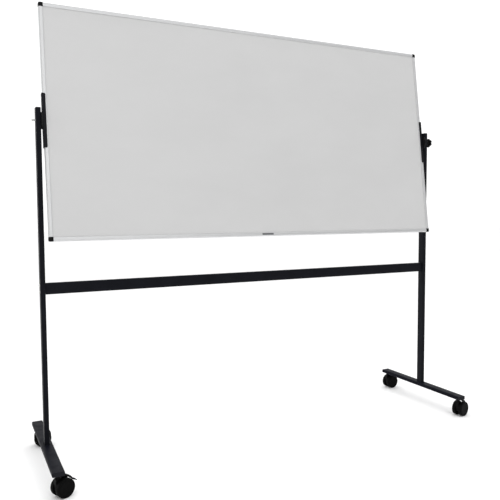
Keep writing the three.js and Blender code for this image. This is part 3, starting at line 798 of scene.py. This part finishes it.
def make_rails():
    """Extruded rails. Each is drawn over its section and runs along its own Z."""
    for name, (x, z), edge, length in (
        ("top", (0, 1), BOARD_HEIGHT / 2, BOARD_WIDTH),
        ("bottom", (0, -1), BOARD_HEIGHT / 2, BOARD_WIDTH),
        ("left", (-1, 0), BOARD_WIDTH / 2, BOARD_HEIGHT),
        ("right", (1, 0), BOARD_WIDTH / 2, BOARD_HEIGHT),
    ):
        half = length / 2 - CORNER_SIZE - GAP
        rail = prism(f"extrusion_{name}", rail_outline(), -half, half)
        cut(rail, block("chamber", (8.6, -5, -half - 1), (14.4, 5, half + 1)))
        out, across = Vector((x, 0, z)), Vector((0, 1, 0))
        turn = Matrix((out, across, out.cross(across))).transposed().to_4x4()
        spot = Matrix.Translation(out * (edge - RAIL_FACE) * MM)
        placed(smooth(rail, 25), BOARD_PLACE @ spot @ turn, RAIL, f"rail_{name}")


def corner_block(name):
    """A moulded corner with soft edges. Its outer corner is at 0 and it fills -X and -Z."""
    far = -CORNER_SIZE
    outline = [(far, far), (0, far), *arc(-6, -6, 6, 0, 90, 12), (far, 0)]
    body = rounded(prism(name, outline, -10.3, 10.3), 1.7, 5, 40)
    spigots = [block("spigot", (-38.5, -8.1, -4.7), (-9, -2.9, 4.7)),
               block("spigot", (-8.1, -38.5, -4.7), (-2.9, -9, 4.7))]
    panel = block("panel", (-40, -40, -7.3), (-11, -11, 7.3))
    return upright(smooth(cut(combined(body, *spigots), panel), 35))


def make_corners():
    for level, z, side, x, quarter in (("top", 1, "right", 1, 0), ("bottom", -1, "right", 1, 1),
                                       ("bottom", -1, "left", -1, 2), ("top", 1, "left", -1, 3)):
        piece = corner_block(f"corner_piece_{level}_{side}")
        spot = moved(x * BOARD_WIDTH / 2, 0, z * BOARD_HEIGHT / 2)
        turn = Matrix.Rotation(quarter * math.pi / 2, 4, "Y")
        placed(piece, BOARD_PLACE @ spot @ turn, CORNER, f"corner_{level}_{side}")


def cross_screw(name):
    """A countersunk head just below 0 with a cross recess, and a stub of its shank."""
    head = [(0, -3.2), (2.2, -3.2), (2.2, -1.6), (3.7, -0.35), (3.7, -0.2), (2.6, -0.1), (0, -0.1)]
    recess = [block("slot", (-x, -y, -1.3), (x, y, 1)) for x, y in ((2, 0.35), (0.35, 2))]
    return smooth(cut(turned(name, head, 32), *recess), 30)


def make_brackets():
    """Pressed U-channels with rounded corners, screwed through the web into the side rails."""
    outer, inner, web, lip, half = 12.9, 10.3, 1003.3, 988, 113.5
    bend, in_bend = 2.6, 0.9
    section = [(lip, -outer), *arc(web - bend, -outer + bend, bend, -90, 0, 6),
               *arc(web - bend, outer - bend, bend, 0, 90, 6), (lip, outer), (lip, inner),
               *arc(web - 3 - in_bend, inner - in_bend, in_bend, 90, 0, 4),
               *arc(web - 3 - in_bend, -inner + in_bend, in_bend, 0, -90, 4), (lip, -inner)]
    trim = [(web + 1, -half), (web + 1, half), *arc(lip + 5, half - 5, 5, 90, 180, 8),
            *arc(lip + 5, -half + 5, 5, 180, 270, 8)]
    for side, sign in SIDES:
        channel = prism(f"u_channel_{side}", section, -half, half)
        channel = combined(channel, upright(prism("trim", trim, -20, 20)), operation="INTERSECT")
        seats = []
        for z in BRACKET_SCREWS:
            seat = turned("seat", [(0, -4), (2.4, -4), (2.4, -1.4), (4.6, 0.8), (0, 0.8)], 32)
            seat.data.transform(moved(web, 0, z) @ outward(1))
            seats.append(seat)
        cut(channel, *seats)
        channel = rounded(channel, 0.35, 2, 50)
        turn = Matrix.Rotation(0 if sign > 0 else math.pi, 4, "Z")
        placed(channel, BOARD_PLACE @ turn, BRACKET_COAT, f"bracket_{side}")
        for number, z in enumerate(BRACKET_SCREWS, 1):
            screw = cross_screw(f"bracket_screw_{number}_{side}")
            spot = moved(web, 0, z) @ outward(1)
            placed(screw, BOARD_PLACE @ turn @ spot, ZINC, body="board")


def make_name_tab():
    plate = rounded(prism("tab_plate", rounded_rectangle(60, 8, 1.5), -0.6, 0.6), 0.35, 3, 40)
    spot = moved(0, -(10 + GAP + 0.6), -(BOARD_HEIGHT / 2 - RAIL_FACE + 7.5))
    placed(upright(plate), BOARD_PLACE @ spot, TAB, "name_tab")


def make_board():
    make_rails()
    make_corners()
    make_brackets()
    make_name_tab()
    dressed("core_panel", CORE)
    dressed("writing_sheet_front", ENAMEL)
    dressed("writing_sheet_back", ENAMEL)


# ------------------------------------------------------------------ castors

TRAIL, AXLE_HEIGHT, WHEEL_START = 20, 38, 10
WHEEL_RIBS, TYRE_START, AXLE_HOLE = 9, 31, 4.3
HEAD_HALF, HEAD_BOTTOM, HEAD_TOP = 13, 60, 78
HOOD_HALF, BOSS_RADIUS, BOSS_TOP = 9.2, 8.5, 89.4
HOOD_EDGE = ((-10, 30), (8, 20), (28, 22))    # its lower edge: start, control point and end
LUG_HALF, PEDAL_PIN = 3.5, (17, 86.5)
# The pedal's outline over X and Z, over its top and back below.
PEDAL_TOP = [(27, 88.4), (34.5, 84.2), (41, 80.2), (47.5, 76.2), (52.2, 71.8), (56, 67),
             (59.4, 62.6), (63.5, 59), (67.8, 56.3), (73, 53), (76.4, 50.2), (77.2, 48.4)]
PEDAL_UNDERSIDE = [(75.8, 47.6), (72, 49.6), (66.8, 51.9), (61.6, 54.2), (56.8, 57.2),
                   (53.6, 60.3), (49.4, 65.4), (44.4, 69.6), (38.9, 72.8), (33, 75.6), (27.6, 79)]


def wheel():
    """A moulded wheel about Z: ribs on its hub side at 0, and a dished closed face at 17."""
    tread = [(34.5, 0), *arc(36.2, 1.6, 1.6, -80, -8, 5), (37.95, 4), (38, 7), (37.95, 10)]
    shoulder = [(38, 13.6), *arc(35.6, 14.4, 2.4, 12, 80, 6), (34, 16.95)]
    ring = [(31, 17), (30.7, 16.8), (30.6, 15.8), (29.6, 15.8), (29.4, 16.5), (28.8, 16.8)]
    dish = [(26, 16.75), (21, 16.45), (14, 16.1), (7, 15.9), (0, 15.85)]
    hub = [(0, 13), (4.3, 13), (4.3, 0.3), (4.6, 0), (9, 0), (9.4, 0.4), (9.8, 10.5), (11, 11.6)]
    rim = [(27.5, 11.6), (29, 10.4), (30.6, 0.5), (31.2, 0)]
    body = turned("wheel", [*hub, *rim, *tread, *shoulder, *ring, *dish], 96)
    ribs = []
    for i in range(WHEEL_RIBS):
        rib = block("rib", (9, -0.8, 1.2), (30.8, 0.8, 12.4))
        rib.data.transform(Matrix.Rotation(2 * math.pi * i / WHEEL_RIBS, 4, "Z"))
        ribs.append(rib)
    return smooth(combined(body, *ribs), 32)


def castor_hood(name, brake):
    """The body between the wheels, a collar under the stem and, with a brake, a lug."""
    outline = arc(TRAIL, AXLE_HEIGHT, 27.5, -20, 137.5, 40)
    outline += [(-HEAD_HALF, 69.5), (-HEAD_HALF, HEAD_BOTTOM), HOOD_EDGE[0]]
    outline += curve(*HOOD_EDGE, 12)
    web = upright(prism(name, outline, -HOOD_HALF, HOOD_HALF))
    collar = [(0, 70), (BOSS_RADIUS, 70), (BOSS_RADIUS, BOSS_TOP), (0, BOSS_TOP)]
    parts = [block("block", (-HEAD_HALF, -HOOD_HALF, HEAD_BOTTOM),
                   (HEAD_HALF, HOOD_HALF, HEAD_TOP)),
             turned("collar", collar, 64)]
    bores = [rod("bore", STEM_HOLE, 61.6, 92, "z", 40),
             rod("bore", AXLE_HOLE, -THROUGH, THROUGH, "y", 40, (TRAIL, AXLE_HEIGHT))]
    if brake:
        parts += [block("lug", (0, -LUG_HALF, 83.6), (PEDAL_PIN[0], LUG_HALF, BOSS_TOP)),
                  rod("barrel", 2.9, -LUG_HALF, LUG_HALF, "y", 32, PEDAL_PIN)]
        bores += [rod("bore", 1.8, -6, 6, "y", 24, PEDAL_PIN)]
    body = softened(combined(web, *parts), 0.55, 7, 0.3)
    return smooth(cut(body, *bores), 40)


def brake_lever(name):
    """An arched lever with soft edges, three grip ridges and two cheeks on a pin."""
    outline = [(20.8, 83.8), (20.8, 89.3), *through(PEDAL_TOP), *through(PEDAL_UNDERSIDE)]
    arm = upright(rounded(prism(name, outline, -9, 9), 0.9, 4, 50))
    parts = []
    for y in (-6.4, 6.4):
        parts += [rod("cheek", 3, y - 2.6, y + 2.6, "y", 40, PEDAL_PIN),
                  block("cheek", (PEDAL_PIN[0], y - 2.6, 84), (21.8, y + 2.6, 89))]
    parts.append(rod("pin", 1.5, -8, 8, "y", 24, PEDAL_PIN))
    for x, z in ((65.4, 57.9), (68.6, 55.8), (71.8, 53.8)):
        parts.append(rod("ridge", 0.8, -7, 7, "y", 16, (x, z - 0.2)))
    return smooth(combined(arm, *parts), 38)


def make_castors():
    pattern = wheel()
    for name in ("front_left", "front_right", "back_left", "back_right"):
        place = at_castor(name)
        brake = name.startswith("front")
        placed(castor_hood(f"hood_{name}", brake), place, HOOD, f"castor_hood_{name}")
        for number, direction in ((1, -1), (2, 1)):
            piece = bpy.data.objects.new(f"wheel_{number}_{name}", pattern.data.copy())
            scene.collection.objects.link(piece)
            spot = moved(TRAIL, direction * WHEEL_START, AXLE_HEIGHT)
            turn = Matrix.Rotation(-direction * math.pi / 2, 4, "X")
            placed(piece, place @ spot @ turn, WHEEL, f"castor_wheel_{number}_{name}")
            piece.data.materials.append(TYRE)
            for polygon in piece.data.polygons:
                polygon.material_index = int(math.hypot(*polygon.center[:2]) > TYRE_START * MM)
        dressed(f"castor_stem_{name}", ZINC)
        dressed(f"castor_axle_{name}", ZINC)
        if brake:
            placed(brake_lever(f"lever_{name}"), place, HOOD, f"brake_pedal_{name}")
    bpy.data.objects.remove(pattern)


make_posts()
make_feet()
make_crossbar()
make_discs()
make_pivots()
make_board()
make_castors()
